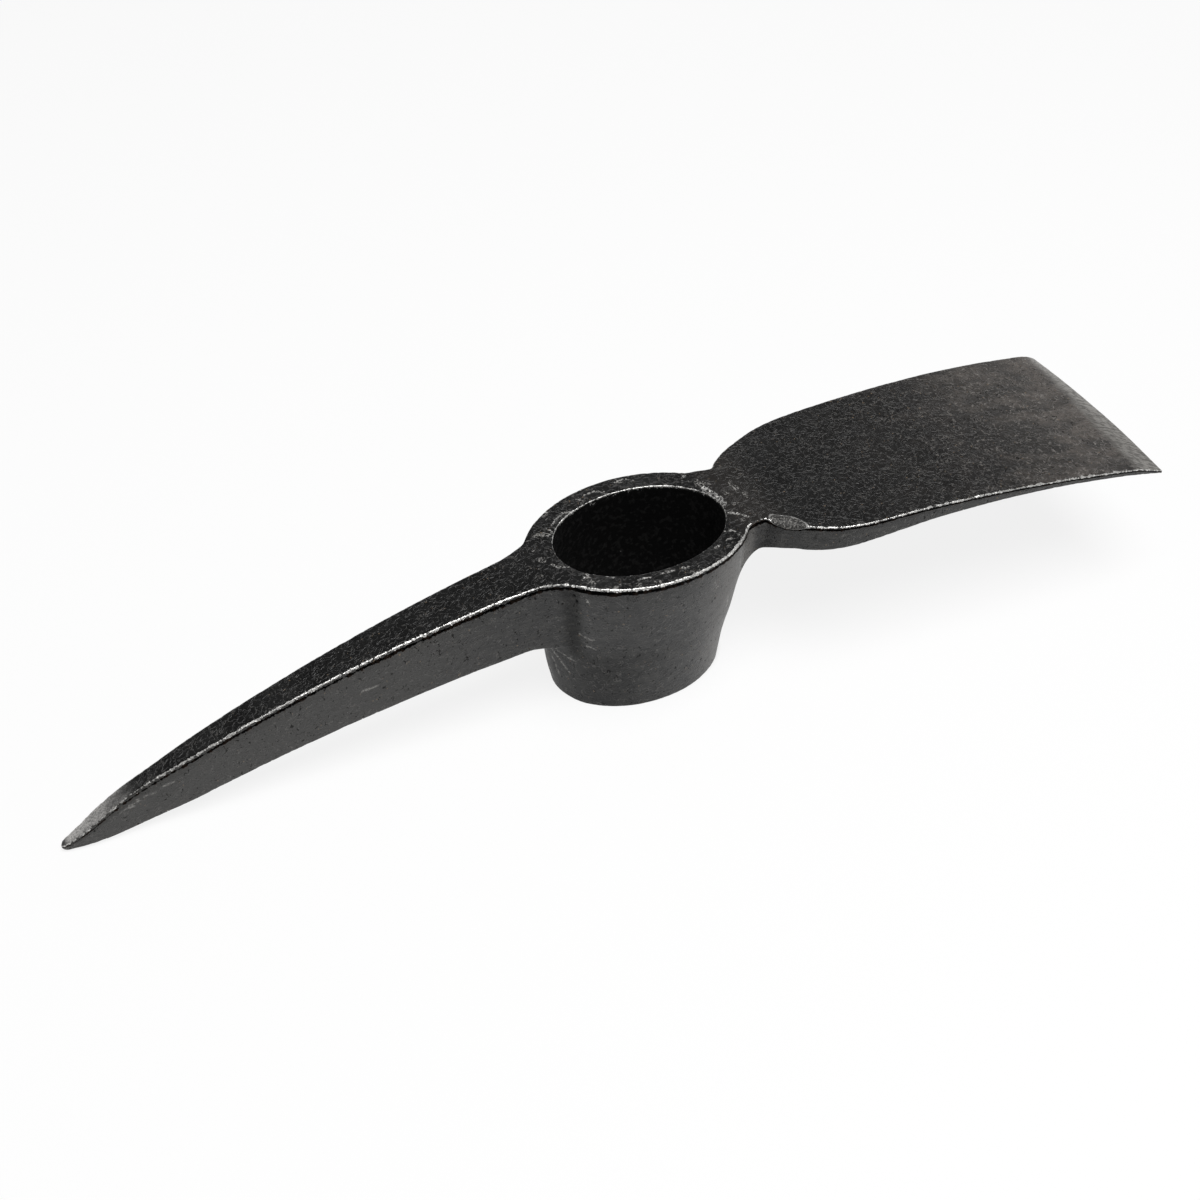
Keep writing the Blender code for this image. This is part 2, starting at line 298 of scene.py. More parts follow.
# height of the upper surface
def headTop(x):
    if x < 0:
        first, last = pick["rimFall"]
        return mix(armTop(x), socket["rimZ"], eased((x - first) / (last - first)))
    first, last = blade["rise"]
    unground = mix(socket["rimZ"], bladeTop(x), eased((x - first) / (last - first)))
    return unground - blade["grindDrop"] * groundShare(x, blade["grindLength"])


# The cage: quads all round, which are subdivided later, and traces on its points that the skin and the finish
# read. wear: a bright edge, rubbed bare and given a painted highlight. under: the painted shadow line below
# one. rub: smudged by the hammer. struck: knocked bare. bore: inside the eye.
traces = ("wear", "under", "rub", "struck", "bore")
cage = {name: [] for name in ("points", "faces", *traces)}


def addPoint(x, y, z, wear=0.0, under=0.0, rub=0.0, struck=0.0, bore=0.0):
    cage["points"].append((x, y, z))
    for name, value in zip(traces, (wear, under, rub, struck, bore)):
        cage[name].append(value)
    return len(cage["points"]) - 1


def addStrip(first, second):
    for a, b, c, d in zip(first, first[1:], second[1:], second):
        cage["faces"].append((d, c, b, a))


# the near edges get a brighter painted highlight and a darker painted shadow below it than the far ones
def nearSideShare(y):
    far, near, width = socket["wear"]
    return mix(far, near, eased(0.5 - y / width))


# angles round the socket, clockwise from the blade's far corner, with the blade's and the arm's own columns
def columnAngles():
    wide = socket["rimHalfWidth"]
    bladeFar, bladeNear = blade["farSide"][0][1], -blade["nearSide"][0][1]
    armNear, armFar = -pick["nearCheek"][-1][1], pick["farCheek"][-1][1]
    ofBlade = [math.asin(mix(bladeFar, bladeNear, u) / wide) for u in blade["columns"]]
    ofArm = [-math.pi - math.asin(mix(armNear, armFar, u) / wide) for u in pick["columns"]]
    near = [mix(ofBlade[-1], ofArm[0], share) for share in socket["sideColumns"]]
    far = [mix(ofArm[-1], ofBlade[0] - 2 * math.pi, share) for share in socket["sideColumns"]]
    return ofBlade + near + ofArm + far


angles = columnAngles()
bladeFirst, bladeLast = 0, len(blade["columns"]) - 1
armFirst = bladeLast + 1 + len(socket["sideColumns"])
armLast = armFirst + len(pick["columns"]) - 1


# a point on the rim, from its outer edge at share 0 to the bore at 1
def onRim(angle, share):
    swell = wallSwell(math.degrees(angle), socket["rimZ"])
    x0, y0 = grown(*onOval(outerOval(socket["rimZ"]), angle), swell)
    x1, y1 = onOval(boreOval(socket["rimZ"]), angle)
    return mix(x0, x1, share), mix(y0, y1, share)


# how far the wall stands proud of its oval at an angle in degrees and a height
def wallSwell(angle, z):
    proud, first, last = socket["throatSwell"]
    swell = proud * hump(angle, first, last) * plateau(z, *socket["throatHeights"])
    proud, middle, reach, fade = socket["neckSwell"]
    swell += proud * eased((reach - abs(angle - middle)) / fade) * plateau(z, *socket["neckHeights"])
    proud, first, last = socket["farCorner"]
    bulge, soon = socket["farProud"]
    far = bulge * eased(math.sin(math.radians(angle)) * soon) + proud * hump(angle % 360, first, last)
    return swell + far * eased(z / socket["rimZ"]) + lipSwell(angle, socket["rimZ"] - z)


def lipSwell(angle, below):
    full, fade, end = socket["lipDepths"]
    first, width = socket["lipSine"]
    near = eased((-math.sin(math.radians(angle)) - first) / width)
    return socket["lip"] * near * clamped(below / full) * (1 - eased((below - fade) / (end - fade)))


# the wall's place at an angle in degrees and a height
def onWall(angle, z):
    return *grown(*onOval(outerOval(z), math.radians(angle)), wallSwell(angle, z)), z


# a point on the socket's outer wall, where row 0 is the rim's outer edge and the last row is the foot's
def wallPlace(row, column):
    angle = angles[column]
    if row > 1:
        return onWall(math.degrees(angle), (socket["wallHeights"] + (socket["footEdge"], 0.0))[row - 2])
    x, y = onRim(angle, 0.0)
    below = row * socket["edge"]
    return *grown(x, y, lipSwell(math.degrees(angle), below)), headTop(x) - below


wallRows = len(socket["wallHeights"]) + 4  # two more lie at the rim's edge, and two at the foot's
wallPoints = {}


def wallPoint(row, column):
    column %= len(angles)
    if (row, column) not in wallPoints:
        x, y, z = wallPlace(row, column)
        inLimb = bladeFirst < column < bladeLast or armFirst < column < armLast
        wear = under = 0.0
        # the rim's outer edge: wear and a painted highlight; the row below it: the painted shadow line
        if row == 0 and not inLimb:
            more, first, last = socket["wearPeak"]
            wear = nearSideShare(y) * (1 + more * hump(x, first, last))
        elif row == 1 and not inLimb:
            least, first, last = socket["underFade"]
            under = nearSideShare(y) * mix(1.0, least, eased((x - first) / (last - first)))
        elif row == wallRows - 1:
            wear = socket["footWear"]
        wallPoints[row, column] = addPoint(x, y, z, wear, under, rub=1.0 if row == 0 else 0.0)
    return wallPoints[row, column]


def buildSocket():
    near, far, width = socket["boreWear"]
    rows = [[wallPoint(0, column) for column in range(len(angles))]]
    for share in socket["rimRings"][1:]:
        rows.append([])
        for x, y in [onRim(angle, share) for angle in angles]:
            wear = mix(near, far, eased(0.5 + y / width)) if share == 1 else 0.0
            rows[-1].append(addPoint(x, y, headTop(x), wear, rub=1.0))
    inner = socket["boreEdge"]
    for row in range(socket["boreRows"] + 1):
        depth = mix(inner, socket["rimZ"] - inner, row / socket["boreRows"])
        places = [onOval(boreOval(socket["rimZ"] - depth), angle) for angle in angles]
        rows.append([addPoint(x, y, headTop(x) * (1 - depth / socket["rimZ"]), bore=1.0) for x, y in places])
    for share in reversed(socket["footRings"][1:]):
        rows.append([])
        wear = socket["footWear"] if share == 1 else 0.0
        for angle in angles:
            x0, y0 = onOval(outerOval(0.0), angle)
            x1, y1 = onOval(boreOval(0.0), angle)
            rows[-1].append(addPoint(mix(x0, x1, share), mix(y0, y1, share), 0.0, wear))
    rows.append([wallPoint(wallRows - 1, column) for column in range(len(angles))])
    for first, second in zip(rows, rows[1:]):
        addStrip(first + first[:1], second + second[:1])
    for row in range(wallRows - 1):
        for column in range(len(angles)):
            inBlade = bladeFirst <= column < bladeLast and row < socket["bladeRow"]
            inArm = armFirst <= column < armLast and row < socket["armRow"]
            if not inBlade and not inArm:
                addStrip([wallPoint(row + 1, column), wallPoint(row + 1, column + 1)],
                         [wallPoint(row, column), wallPoint(row, column + 1)])


# the (row, column) places round the opening in the wall that a limb grows out of
def holePlaces(first, last, rows):
    top = [(0, column) for column in range(first, last + 1)]
    nearSide = [(row, last) for row in range(1, rows + 1)]
    bottom = [(rows, column) for column in range(last - 1, first - 1, -1)]
    farSide = [(row, first) for row in range(rows - 1, 0, -1)]
    return top + nearSide + bottom + farSide


limbs = {
    "ownWay": {"columns": 0.3, "taper": 0.4, "swell": 0.2, "rub": 0.25},  # how soon each takes its own form
    "mostEdge": 0.25, "mostSwell": 0.06,  # at most this part of the limb's depth
    "mostInset": 0.8,  # the second column stays this far within the third
    "firstRow": 1.4, "firstSwell": 0.55,  # the row below the top edge: its depth in edges, its swell
    "underWear": (0.4, 0.3, 0.4),  # of the lower edges: how much, from which share, over which
    "endWear": 0.2,
}


# heights of a limb's side rows under its top edge, close together at both edges
def rowHeights(top, bottom, rows, edge):
    inner = [mix(top - limbs["firstRow"] * edge, bottom + edge, i / (rows - 2)) for i in range(rows - 1)]
    return inner + [bottom]


# a limb's columns as shares of its width, with the outer two a fixed way in from the edges
def columnShares(columns, width, edge, blend):
    inset = min(edge / width, columns[2] * limbs["mostInset"])
    spread = list(columns)
    spread[1] = mix(columns[1], inset, blend)
    spread[-2] = mix(columns[-2], 1 - inset, blend)
    return spread


# one ring of a limb, where share 0 lies on the socket's wall and 1 is a straight cut across at x
def limbRing(limb, hole, share, x):
    columns, rows = len(limb["columns"]), limb["rows"]
    own = {name: eased(share / full) for name, full in limbs["ownWay"].items()}
    walls = [wallPlace(*place) for place in hole]
    xs = [mix(wall[0], x, share) for wall in walls]
    firstY, lastY = limb["firstSide"](xs[0]), limb["lastSide"](xs[columns - 1])
    bottomZ = limb["under"](share, x)
    depth = headTop(xs[0]) - bottomZ
    edge = min(limb["edge"], depth * limbs["mostEdge"])
    spread = columnShares(limb["columns"], abs(firstY - lastY), edge, own["columns"])
    heights = rowHeights(headTop(xs[columns - 1]), bottomZ, rows, edge)
    swell = min(limb["swell"], depth * limbs["mostSwell"]) * own["swell"]
    lowWear, first, width = limbs["underWear"]
    ring = []
    for place, (row, column) in enumerate(hole):
        column -= hole[0][1]
        atSide = column in (0, columns - 1)
        y = mix(firstY, lastY, spread[column])
        point = {"x": xs[place], "y": y, "z": bottomZ}
        if place < columns:
            point["z"] = headTop(xs[place])
            # the top's outer edges: wear with a painted highlight
            point["wear"] = nearSideShare(y) * limb["worn"] if atSide else 0.0
            point["rub"] = mix(1.0, limb["rub"], own["rub"])
        elif row == rows:
            point["wear"] = lowWear * eased((share - first) / width) if atSide else 0.0
        else:
            point["z"] = heights[row - 1]
            # the painted shadow line under the top edge
            point["under"] = nearSideShare(y) * limb["shade"] if row == 1 else 0.0
            bulge = swell * (limbs["firstSwell"] if row == 1 else (rows - row) / (rows - 2))
            point["y"] += math.copysign(bulge, firstY if column == 0 else lastY)
        if place >= columns:
            rimY = onOval(outerOval(socket["rimZ"]), angles[hole[place][1]])[1]
            point["y"] *= mix(1.0, walls[place][1] / rimY if abs(rimY) > 1 else 1.0, 1 - own["taper"])
        ring.append(point)
    limb["shape"](ring, columns)
    return [addPoint(**point) for point in ring]


# grows a limb out of the wall through its rings and on through the cuts at xs, and closes its end with a grid
def buildLimb(limb, first, last, rows, xs):
    limb["rows"] = rows
    hole = holePlaces(first, last, rows)
    previous = [wallPoint(*place) for place in hole]
    for share, x in [(share, limb["rootX"]) for share in limb["rings"]] + [(1.0, x) for x in xs]:
        ring = limbRing(limb, hole, share, x)
        addStrip(ring + ring[:1], previous + previous[:1])
        previous = ring
    columns = last - first + 1
    top, nearSide = previous[:columns], previous[columns - 1:columns + rows]
    bottom = previous[columns + rows - 1:2 * columns + rows - 1][::-1]
    farSide = [previous[0]] + previous[2 * columns + rows - 1:][::-1] + [bottom[0]]
    grid = [top]
    for row in range(1, rows):
        middle = [farSide[row]]
        for column in range(1, columns - 1):
            upper, lower = Vector(cage["points"][top[column]]), Vector(cage["points"][bottom[column]])
            low = (cage["points"][farSide[row]][2] - cage["points"][top[0]][2]) / (lower.z - upper.z)
            middle.append(addPoint(*upper.lerp(lower, low), limbs["endWear"]))
        grid.append(middle + [nearSide[row]])
    grid.append(bottom)
    for upper, lower in zip(grid, grid[1:]):
        addStrip(lower, upper)


# strikes off the edge of the blade's near shoulder, slants its filed strip and bows its end
def shapeBlade(ring, columns):
    corner = ring[columns - 1]
    scale, first, last = blade["scaledNeck"]
    corner["wear"] *= 1 - scale * hump(corner["x"], first, last)
    struck = hump(corner["x"], *blade["facet"]) ** blade["facetEnds"]
    cornerY = corner["y"]
    for index, point in enumerate(ring):
        if index == columns - 1:
            point["z"] -= blade["facetDrop"] * struck
            point["wear"] *= 1 - struck
            point["struck"] = struck
        elif index == columns - 2:
            point["y"] = mix(point["y"], cornerY + blade["facetWidth"], struck)
            point["struck"] = struck
        elif index == columns - 3:
            inner = cornerY + blade["facetWidth"] + blade["facetStep"]
            point["y"] = mix(point["y"], max(point["y"], inner), struck)
        elif index == columns:
            point["z"] -= blade["facetDrop"] * struck
        if index < columns:
            far = eased(0.5 + point["y"] / blade["grindTurn"])
            length = mix(blade["grindLength"], blade["grindFarLength"], far)
            later = groundShare(point["x"], blade["grindLength"]) - groundShare(point["x"], length)
            point["z"] += blade["grindDrop"] * later
        half = bladeHalfWidth(point["x"], blade["farSide"])
        reach = eased((point["x"] - blade["endX"] + blade["edgeLength"]) / blade["edgeLength"])
        point["x"] += endBow * (1 - min((point["y"] / half) ** 2, 1.0)) * reach


# rounds the pick's very end
def shapeTip(ring, columns):
    for point in ring:
        along = clamped((point["x"] - pick["tipX"]) / pick["tipRadius"])
        full = math.sqrt(1 - (1 - along) ** 2)
        middle = mix(armBottom(point["x"]), armTop(point["x"]), pick["tipHeight"])
        point["y"] *= full
        point["z"] = mix(middle, point["z"], full)


def stepsTo(start, end, step):
    count = math.ceil(abs(end - start) / step)
    return [mix(start, end, (i + 1) / count) for i in range(count)]


def buildCage():
    buildSocket()
    bladeLimb = {
        **blade,
        "firstSide": lambda x: bladeHalfWidth(x, blade["farSide"]),
        "lastSide": lambda x: -bladeHalfWidth(x, blade["nearSide"]),
        "under": lambda share, x: onPath(blade["gusset"], share) if share < 1 else bladeBottom(x),
        "shape": shapeBlade,
    }
    grindX, crease = blade["endX"] - blade["grindLength"], blade["grindCrease"]
    xs = stepsTo(blade["rootX"], grindX - crease, blade["step"]) + [grindX, grindX + crease]
    xs += stepsTo(xs[-1], blade["endX"] - blade["lastStep"], blade["endStep"]) + [blade["endX"]]
    buildLimb(bladeLimb, bladeFirst, bladeLast, socket["bladeRow"], xs)
    armLimb = {
        **pick,
        "firstSide": lambda x: -armHalfWidth(x, pick["nearCheek"]),
        "lastSide": lambda x: armHalfWidth(x, pick["farCheek"]),
        "under": lambda share, x: onPath(pick["throat"], share) if share < 1 else armBottom(x),
        "shape": shapeTip,
    }
    noseX = pick["tipX"] + pick["tipRings"][0]
    xs = stepsTo(pick["rootX"], noseX, pick["step"]) + [pick["tipX"] + way for way in pick["tipRings"][1:]]
    buildLimb(armLimb, armFirst, armLast, socket["armRow"], xs)


buildCage()
print("cage:", len(cage["points"]), "points,", len(cage["faces"]), "faces")


def addObject(name, data):
    obj = bpy.data.objects.new(name, data)
    bpy.context.scene.collection.objects.link(obj)
    return obj


def meshObject(name, points, faces=(), edges=()):
    mesh = bpy.data.meshes.new(name)
    mesh.from_pydata([Vector(point) * mm for point in points], edges, faces)
    mesh.update()
    return addObject(name, mesh)


# Adds a node with its settings and gives back one of its outputs. An input is a value, or the output that
# feeds it.
def addNode(tree, kind, inputs=None, out=0, **settings):
    node = tree.nodes.new(kind)
    for name, value in settings.items():
        setattr(node, name, value)
    for key, value in (inputs or {}).items():
        if isinstance(value, bpy.types.NodeSocket):
            tree.links.new(value, node.inputs[key])
        else:
            node.inputs[key].default_value = value
    return node.outputs[out] if node.outputs else None


# Marks of forging, as paths. Those on top are in plan, those on the socket's wall are given as an angle in
# degrees and a height, and those on the arm's near side as X and a height.
marks = {
    "lap": {"width": 0.9, "depth": 0.22, "top": (
        ((-29.5, 17.2), (-25.9, 20.0), (-22.5, 21.8), (-19.2, 20.8)),
        ((-32.3, 17.1), (-31.6, 14.9), (-30.6, 11.7)),
        ((-31.1, 13.3), (-33.5, 11.8)),
        ((-38.9, -3.6), (-37.6, -6.1), (-34.6, -7.6)),
        ((-32.4, -16.8), (-29.8, -14.9), (-26.7, -15.2)),
        ((-23.6, -18.6), (-21.4, -20.4)),
        ((-13.9, -25.4), (-11.4, -25.6), (-9.4, -26.4)),
        ((-4.4, -26.2), (-1.9, -26.6), (0.2, -26.4)),
        ((3.2, -26.6), (6.2, -27.0)),
        ((20.4, -21.9), (22.5, -20.9)),
        ((26.0, -19.4), (29.4, -19.9)),
        ((28.3, -14.8), (31.1, -16.1), (32.4, -20.7)),
        ((34.2, -6.3), (36.7, -8.2), (39.7, -12.3)),
        ((38.3, -2.9), (40.4, -3.2)),
        ((3.9, 30.3), (7.9, 30.5), (10.5, 28.5)),
        ((-10.5, 28.2), (-6.3, 29.0), (-2.9, 26.6)),
        ((28.7, 21.1), (30.6, 22.3)),
    ), "wall": (
        ((-140, 62), (-136.5, 58)),
        ((-66, 56), (-63, 52)),
    )},
    "chip": {"width": 2.1, "depth": 0.5, "top": (
        ((33.2, 11.2), (33.9, 8.2), (34.7, 4.4), (35.4, 2.5), (35.2, -0.7)),
    )},
    "crack": {"width": 0.8, "depth": 0.3, "wall": (
        ((-149.5, 66), (-148.5, 61), (-149.2, 56)),
        ((-148.5, 65), (-146.0, 61.5), (-145, 58.5)),
        ((-150, 63), (-152.0, 60.5)),
        ((-187, 19), (-184, 9), (-180, 1)),
    )},
    # a shallow crease where the arm meets the socket; the finish also paints it darker as shade
    "crease": {"width": 7.0, "depth": 0.4, "wall": (
        ((-148.5, 62), (-149, 54), (-149.5, 42), (-150, 31)),
    )},
    "scratch": {"width": 0.9, "depth": 0.12, "wall": (
        ((-178, 25), (-165, 24), (-151, 23)),
        ((-180, 24), (-168, 20), (-158, 15)),
        ((-182, 24), (-174, 16), (-169, 9)),
        ((-186, 24), (-183, 12), (-181, 4)),
        ((-190, 20), (-186, 9), (-181, 0)),
        ((-145, 40), (-140, 38), (-136, 38)),
        ((-141, 34), (-136, 33)),
        ((-44, 62), (-40, 57), (-37, 50)),
        ((-33, 60), (-31, 52), (-30, 46)),
        ((-38, 46), (-35, 41)),
        ((-47, 40), (-43, 33)),
    ), "arm": (
        ((-212.4, 12.9), (-209.3, 14.0), (-206.3, 14.2)),
        ((-205.9, 16.7), (-202.1, 17.5), (-198.0, 17.7)),
        ((-208.0, 15.4), (-203.0, 16.4)),
        ((-196.0, 19.6), (-191.0, 20.6)),
        ((-118.0, 38.0), (-112.0, 38.4)),
    )},
}

skin = {
    "waveLength": 19.0, "waveHeight": 0.3,  # the hammered face never lies quite flat
    "rippleLength": 4.5, "rippleHeight": 0.07,
    "dentRadius": 2.0, "dentDepth": 0.12,
    "nickLength": 2.2, "nickDepth": 0.4,  # bites out of the sharp edges
    "ragLength": 1.8, "ragHeight": 1.8,  # what makes the marks' outlines ragged
}
skinDetail = {"wave": 2.0, "ripple": 2.0, "rag": 2.0, "nick": 3.0}  # of each noise
skinCounts = {
    "level": 3, "seed": 8, "dentsPerMetre": 9000.0, "smallestDent": 0.35,
    "nickFrom": 0.5, "nickTo": 0.72,  # the noise that starts a nick, and that makes it full
}


def onArm(x, z):
    return x, -armHalfWidth(x, pick["nearCheek"]) - pick["swell"] / 2, z


def pathObject(name, mark):
    places = {"top": lambda x, y: (x, y, headTop(x)), "wall": onWall, "arm": onArm}
    points, edges = [], []
    for side, place in places.items():
        for path in mark.get(side, ()):
            edges += [(len(points) + i, len(points) + i + 1) for i in range(len(path) - 1)]
            points += [place(*way) for way in path]
    return meshObject(name, points, edges=edges)


# subdivides the cage and gives the skin its waves, dents, marks and nicked edges
def forgedSkinTree():
    tree = bpy.data.node_groups.new("forgedSkin", "GeometryNodeTree")
    add = partial(addNode, tree)
    sockets = {"Geometry": "Geometry", "material": "Material", **dict.fromkeys((*skin, *skinCounts), "Float")}
    sockets.update(level="Int", seed="Int")
    for kind in marks:
        sockets.update({kind + "Paths": "Object", kind + "Width": "Float", kind + "Depth": "Float"})
    for name, kind in sockets.items():
        tree.interface.new_socket(name, in_out="INPUT", socket_type="NodeSocket" + kind)
    tree.interface.new_socket("Geometry", in_out="OUTPUT", socket_type="NodeSocketGeometry")
    given = tree.nodes.new("NodeGroupInput").outputs
    fine = add("GeometryNodeSubdivisionSurface", {"Mesh": given["Geometry"], "Level": given["level"]})
    place = add("GeometryNodeInputPosition")
    normal = add("GeometryNodeInputNormal")
    wear = add("GeometryNodeInputNamedAttribute", {"Name": "wear"}, data_type="FLOAT")
    up = add("ShaderNodeSeparateXYZ", {0: normal}, out=2)
    noises, waves = {}, {}
    for name, detail in skinDetail.items():
        scale = add("ShaderNodeMath", {0: 1.0, 1: given[name + "Length"]}, operation="DIVIDE")
        noises[name] = add("ShaderNodeTexNoise", {"Vector": place, "Scale": scale, "Detail": detail})
    for name in ("wave", "ripple", "rag"):
        middle = add("ShaderNodeMath", {0: noises[name], 1: 0.5}, operation="SUBTRACT")
        waves[name] = add("ShaderNodeMath", {0: middle, 1: given[name + "Height"]}, operation="MULTIPLY")
    dents = add("GeometryNodeDistributePointsOnFaces",
                {"Mesh": given["Geometry"], "Density": given["dentsPerMetre"], "Seed": given["seed"]})
    nearest = add("GeometryNodeSampleNearest", {"Geometry": dents}, domain="POINT")
    size = add("FunctionNodeRandomValue",
               {2: given["smallestDent"], 3: 1.0, "ID": nearest, "Seed": given["seed"]},
               out=1, data_type="FLOAT")
    radius = add("ShaderNodeMath", {0: given["dentRadius"], 1: size}, operation="MULTIPLY")
    toDent = add("GeometryNodeProximity", {0: dents}, out="Distance", target_element="POINTS")
    reaches = {"dent": (toDent, radius)}
    for name in marks:
        paths = add("GeometryNodeObjectInfo", {"Object": given[name + "Paths"]}, out="Geometry")
        toPath = add("GeometryNodeProximity", {0: paths}, out="Distance", target_element="EDGES")
        ragged = add("ShaderNodeMath", {0: toPath, 1: waves["rag"]}, operation="ADD")
        reaches[name] = (ragged, given[name + "Width"])
    sunk = {}
    for name, (distance, reach) in reaches.items():
        sunk[name] = add("ShaderNodeMapRange", {"Value": distance, "From Min": reach, "From Max": 0.0},
                         interpolation_type="SMOOTHSTEP")
    for name, value in {"up": up, **{name: sunk[name] for name in marks}}.items():
        fine = add("GeometryNodeStoreNamedAttribute", {"Geometry": fine, "Name": name, "Value": value},
                   data_type="FLOAT", domain="POINT")
    bite = add("ShaderNodeMapRange",
               {"Value": noises["nick"], "From Min": given["nickFrom"], "From Max": given["nickTo"]})
    sunk["nick"] = add("ShaderNodeMath", {0: wear, 1: bite}, operation="MULTIPLY")
    total = add("ShaderNodeMath", {0: waves["wave"], 1: waves["ripple"]}, operation="ADD")
    for name, share in sunk.items():
        deep = add("ShaderNodeMath", {0: share, 1: given[name + "Depth"]}, operation="MULTIPLY")
        total = add("ShaderNodeMath", {0: total, 1: deep}, operation="SUBTRACT")
    offset = add("ShaderNodeVectorMath", {0: normal, "Scale": total}, operation="SCALE")
    moved = add("GeometryNodeSetPosition", {"Geometry": fine, "Offset": offset})
    real = add("GeometryNodeRealizeInstances", {0: moved})
    painted = add("GeometryNodeSetMaterial", {"Geometry": real, "Material": given["material"]})
    add("NodeGroupOutput", {0: painted})
    return tree


# the whole head as one fine mesh, before it is parted at its welds
def forgedHead(material):
    head = meshObject("headCage", cage["points"], cage["faces"])
    for name in traces:
        head.data.attributes.new(name, "FLOAT", "POINT").data.foreach_set("value", cage[name])
    paths = {kind + "Paths": pathObject(kind + "Paths", mark) for kind, mark in marks.items()}
    given = {"material": material, **paths, **skinCounts, **{name: size * mm for name, size in skin.items()}}
    for kind, mark in marks.items():
        given.update({kind + "Width": mark["width"] * mm, kind + "Depth": mark["depth"] * mm})
    modifier = head.modifiers.new("forgedSkin", "NODES")
    modifier.node_group = forgedSkinTree()
    for item in modifier.node_group.interface.items_tree:
        if item.in_out == "INPUT" and item.name in given:
            modifier[item.identifier] = given[item.name]
    graph = bpy.context.evaluated_depsgraph_get()
    mesh = bpy.data.meshes.new_from_object(head.evaluated_get(graph), preserve_all_data_layers=True,
                                           depsgraph=graph)
    for helper in (head, *paths.values()):
        bpy.data.objects.remove(helper)
    return mesh


# sRGB hex to the linear colour that a shader takes
def hexColour(text):
    parts = [int(text[i:i + 2], 16) / 255 for i in (1, 3, 5)]
    return (*[part / 12.92 if part <= 0.04045 else ((part + 0.055) / 1.055) ** 2.4 for part in parts], 1.0)


# Finishes of the head: colour, roughness and metallic. The lacquer is thin, black and semi-gloss over forge
# scale, so it reflects the room faintly and softly. Where it is rubbed through, the steel shines.
finish = {
    "lacquer": ("#0a0a0a", 0.34, 0.0),
    "lacquerPale": ("#131313", 0.40, 0.0),
    "combed": ("#3b3a37", 0.42, 0.0),  # fine scratches that run round the socket and along the arms
    "handled": ("#373634", 0.45, 0.0),  # painted sheen: the pick's sides, not its top, painted paler towards the tip
    "scuffed": ("#5e5c59", 0.45, 0.0),  # painted sheen: the socket's wall beside the neck painted paler
    "patina": ("#1e1b19", 0.42, 0.0),  # handled lacquer, brownish, on the blade
    # paler patina on the blade's end, and on the neck's top a painted sheen
    "patinaPale": ("#5a544f", 0.48, 0.0),
    "pit": ("#0a0a0a", 0.70, 1.0),
    "curl": ("#6c6a67", 0.42, 0.2),  # short curly scratches
    "etched": ("#8f8a85", 0.45, 0.2),  # those on the handled blade, which show up paler
    "smudge": ("#a9a7a3", 0.45, 0.5),  # hammer marks on the rim
    "speck": ("#7d6c58", 0.60, 0.0),  # specks of rust and dust
    "line": ("#020202", 0.85, 1.0),  # dirt and painted shadow under a rolled edge, painted shade in the crease by the arm and low on the socket's wall, dirt in cracks
    "rust": ("#5b412f", 0.80, 0.0),
    "granular": ("#8c8a86", 0.55, 0.4),  # broken scale
    "granularDark": ("#2c2b2a", 0.60, 0.2),
    "bore": ("#1d1d1d", 0.85, 1.0),  # rough black scale inside the eye, made near black and barely reflecting: painted shade in the hollow
    "bare": ("#e8e7e4", 0.40, 0.9),  # rubbed edges, laps and chips of bare steel; along the edges also a painted highlight, most on the near side
    "ground": ("#a19e99", 0.42, 1.0),  # filed strip at the edge
    "groundDark": ("#45423e", 0.45, 0.8),
    "rubbed": ("#dddbd8", 0.50, 0.6),  # the pick's tip, polished by the soil
}

# Patterns: size in millimetres along X, Y and Z, the noise's detail, how far it is twisted, and its turn in
# degrees
pattern = {
    "mottle": ((17, 17, 17), 3.0, 0.0),
    "cloud": ((24, 11, 11), 5.0, 0.5),
    "patch": ((5.5, 5.5, 5.5), 3.0, 0.0),
    "curl": ((2.3, 2.3, 2.3), 1.0, 0.7),
    "keep": ((3.0, 3.0, 3.0), 2.0, 0.0),
    "ragged": ((2.0, 2.0, 2.0), 3.0, 0.0),
    "grain": ((0.7, 0.7, 0.7), 3.0, 0.0),
    "pit": ((1.3, 1.3, 1.9), 1.0, 1.2),
    "speck": ((1.2, 1.2, 1.2), 1.0, 0.0),
    "hollow": ((6, 6, 6), 2.0, 0.0),
    "combed": ((6.5, 6.5, 0.9), 4.0, 0.0),
    "streak": ((18, 0.9, 0.9), 5.0, 0.0, 26.0),
}

# how high the patterns stand, in millimetres
relief = {"grain": 0.02, "hollow": 0.2, "combed": 0.05, "curlRidge": 0.1, "pit": -0.08}
curlReach = 0.06  # how far a curl's ridge spreads, in its noise
metalRelief = 0.35  # the share of the relief that bare steel shows

